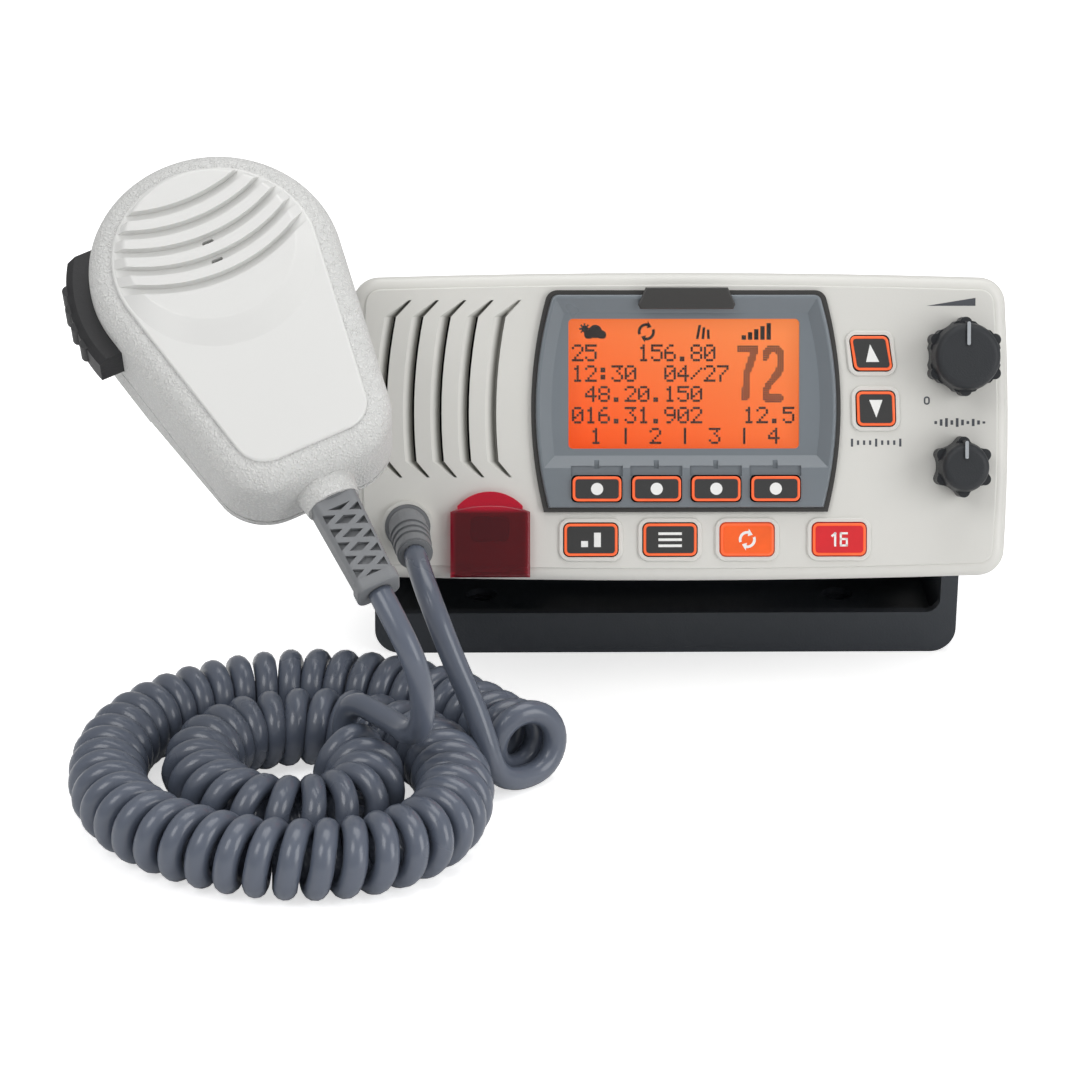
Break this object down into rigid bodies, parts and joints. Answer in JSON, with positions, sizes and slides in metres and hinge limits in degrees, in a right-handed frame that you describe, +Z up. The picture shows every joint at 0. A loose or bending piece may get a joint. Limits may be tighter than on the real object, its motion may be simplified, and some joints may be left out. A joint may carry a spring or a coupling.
{
  "type": "vhf marine radio",
  "caption": "Fixed-mount marine radio on a tilting gimbal bracket, with lit display, keypad, two knobs, guarded distress key and a fist microphone on a curly cord.",
  "frame": {"origin": "middle of the bracket's underside, where it is screwed down", "axes": "+X to the right along the face's width, +Y to the back, +Z up off the mounting surface"},
  "size_m": [0.2504, 0.244, 0.1564],
  "materials": {
    "white_housing": "fine matte moulded, sea white",
    "mic_white": "satin moulded, sea white",
    "dark_bracket": "black glass-filled nylon",
    "case_alloy": "black coated die-cast alloy",
    "bezel_grey": "satin grey",
    "trim_dark": "satin dark",
    "window": "clear",
    "display": "backlit amber",
    "key_dark": "matte dark with lit amber rim",
    "key_orange": "matte amber",
    "key_red": "matte red",
    "mat_rubber": "silicone",
    "board_green": "solder mask",
    "knob_dark": "fine grained",
    "metal": "stainless",
    "socket_metal": "nickel plated",
    "can_metal": "tinned",
    "cover_red": "translucent red",
    "cord_grey": "smooth polyurethane",
    "relief_grey": "moulded rubber",
    "seal_black": "silicone seal",
    "speaker_black": "coated cone",
    "talk_black": "moulded rubber"
  },
  "bodies": {
    "bracket": {"bracket": "dark_bracket", "mic_hanger": "metal", "cord_lead_radio": "cord_grey", "cord_curl": "cord_grey", "cord_lead_mic": "cord_grey", "gimbal_washer_left": "mat_rubber", "gimbal_washer_right": "mat_rubber"},
    "radio": {"front_housing": "white_housing", "display_bezel": "bezel_grey", "bezel_trim": "trim_dark", "badge_tab": "trim_dark", "lcd_window": "window", "lcd_module": "display", "keypad_mat": "mat_rubber", "front_board": "board_green", "speaker": "speaker_black", "volume_pot": "metal", "squelch_pot": "metal", "hinge_pin": "metal", "rear_case": "case_alloy", "case_gasket": "seal_black", "case_screws": "metal", "main_board": "board_green", "rf_shield": "can_metal", "power_amplifier": "trim_dark", "antenna_socket": "socket_metal", "power_gland": "seal_black", "radio_relief": "relief_grey"},
    "mic": {"mic_front_shell": "mic_white", "mic_rear_shell": "mic_white", "mic_gasket": "seal_black", "mic_board": "board_green", "ptt_switch": "trim_dark", "mic_element": "can_metal", "mic_stud": "metal", "mic_relief": "relief_grey", "mic_screws": "metal"},
    "ptt_button": {"ptt_button": "talk_black"},
    "gimbal_knob_left": {"gimbal_knob_left": "talk_black"},
    "gimbal_knob_right": {"gimbal_knob_right": "talk_black"},
    "volume_knob": {"volume_knob": "knob_dark"},
    "squelch_knob": {"squelch_knob": "knob_dark"},
    "distress_cover": {"distress_cover": "cover_red"},
    "power_key": {"power_key": "key_dark"},
    "menu_key": {"menu_key": "key_dark"},
    "replay_key": {"replay_key": "key_orange"},
    "hail_key": {"hail_key": "key_red"},
    "channel_up_key": {"channel_up_key": "key_dark"},
    "channel_down_key": {"channel_down_key": "key_dark"},
    "soft_key_1": {"soft_key_1": "key_dark"},
    "soft_key_2": {"soft_key_2": "key_dark"},
    "soft_key_3": {"soft_key_3": "key_dark"},
    "soft_key_4": {"soft_key_4": "key_dark"},
    "distress_key": {"distress_key": "key_red"}
  },
  "joints": [
    {"name": "tilt", "type": "hinge", "parent": "bracket", "child": "radio", "pos_m": [0, 0, 0.06], "axis": [-1, 0, 0], "range_deg": [-20, 10], "deforming": ["cord_lead_radio"]},
    {"name": "mic_lift", "type": "slide", "parent": "bracket", "child": "mic", "axis": [-0.4337, 0.6633, 0.6099], "range_m": [0, 0.04], "deforming": ["cord_lead_mic"]},
    {"name": "ptt_press", "type": "slide", "parent": "mic", "child": "ptt_button", "axis": [0.9011, 0.3192, 0.2935], "range_m": [0, 0.0018], "stiffness_N_per_m": 900, "springref_m": -0.0005},
    {"name": "clamp_left_turn", "type": "hinge", "parent": "bracket", "child": "gimbal_knob_left", "pos_m": [-0.088, 0, 0.06], "axis": [-1, 0, 0], "range_deg": [0, 360]},
    {"name": "clamp_right_turn", "type": "hinge", "parent": "bracket", "child": "gimbal_knob_right", "pos_m": [0.085, 0, 0.06], "axis": [1, 0, 0], "range_deg": [0, 360]},
    {"name": "volume_turn", "type": "hinge", "parent": "radio", "child": "volume_knob", "pos_m": [0.0744, -0.05569, 0.09996], "axis": [0, 0.9397, -0.342], "range_deg": [-140, 140]},
    {"name": "squelch_turn", "type": "hinge", "parent": "radio", "child": "squelch_knob", "pos_m": [0.074, -0.06561, 0.07271], "axis": [0, 0.9397, -0.342], "range_deg": [-140, 140]},
    {"name": "cover_swing", "type": "hinge", "parent": "radio", "child": "distress_cover", "pos_m": [-0.0503, -0.07112, 0.0447], "axis": [1, 0, 0], "range_deg": [0, 95], "stiffness_Nm_per_rad": 0.004, "springref_deg": -28.65},
    {"name": "power_key_press", "type": "slide", "parent": "radio", "child": "power_key", "axis": [0, 0.9397, -0.342], "range_m": [0, 0.0008], "stiffness_N_per_m": 1500, "springref_m": -0.0002},
    {"name": "menu_key_press", "type": "slide", "parent": "radio", "child": "menu_key", "axis": [0, 0.9397, -0.342], "range_m": [0, 0.0008], "stiffness_N_per_m": 1500, "springref_m": -0.0002},
    {"name": "replay_key_press", "type": "slide", "parent": "radio", "child": "replay_key", "axis": [0, 0.9397, -0.342], "range_m": [0, 0.0008], "stiffness_N_per_m": 1500, "springref_m": -0.0002},
    {"name": "hail_key_press", "type": "slide", "parent": "radio", "child": "hail_key", "axis": [0, 0.9397, -0.342], "range_m": [0, 0.0008], "stiffness_N_per_m": 1500, "springref_m": -0.0002},
    {"name": "channel_up_key_press", "type": "slide", "parent": "radio", "child": "channel_up_key", "axis": [0, 0.9397, -0.342], "range_m": [0, 0.0008], "stiffness_N_per_m": 1500, "springref_m": -0.0002},
    {"name": "channel_down_key_press", "type": "slide", "parent": "radio", "child": "channel_down_key", "axis": [0, 0.9397, -0.342], "range_m": [0, 0.0008], "stiffness_N_per_m": 1500, "springref_m": -0.0002},
    {"name": "soft_key_1_press", "type": "slide", "parent": "radio", "child": "soft_key_1", "axis": [0, 0.9397, -0.342], "range_m": [0, 0.0008], "stiffness_N_per_m": 1500, "springref_m": -0.0002},
    {"name": "soft_key_2_press", "type": "slide", "parent": "radio", "child": "soft_key_2", "axis": [0, 0.9397, -0.342], "range_m": [0, 0.0008], "stiffness_N_per_m": 1500, "springref_m": -0.0002},
    {"name": "soft_key_3_press", "type": "slide", "parent": "radio", "child": "soft_key_3", "axis": [0, 0.9397, -0.342], "range_m": [0, 0.0008], "stiffness_N_per_m": 1500, "springref_m": -0.0002},
    {"name": "soft_key_4_press", "type": "slide", "parent": "radio", "child": "soft_key_4", "axis": [0, 0.9397, -0.342], "range_m": [0, 0.0008], "stiffness_N_per_m": 1500, "springref_m": -0.0002},
    {"name": "distress_key_press", "type": "slide", "parent": "radio", "child": "distress_key", "axis": [0, 0.9397, -0.342], "range_m": [0, 0.0008], "stiffness_N_per_m": 1500, "springref_m": -0.0002}
  ]
}
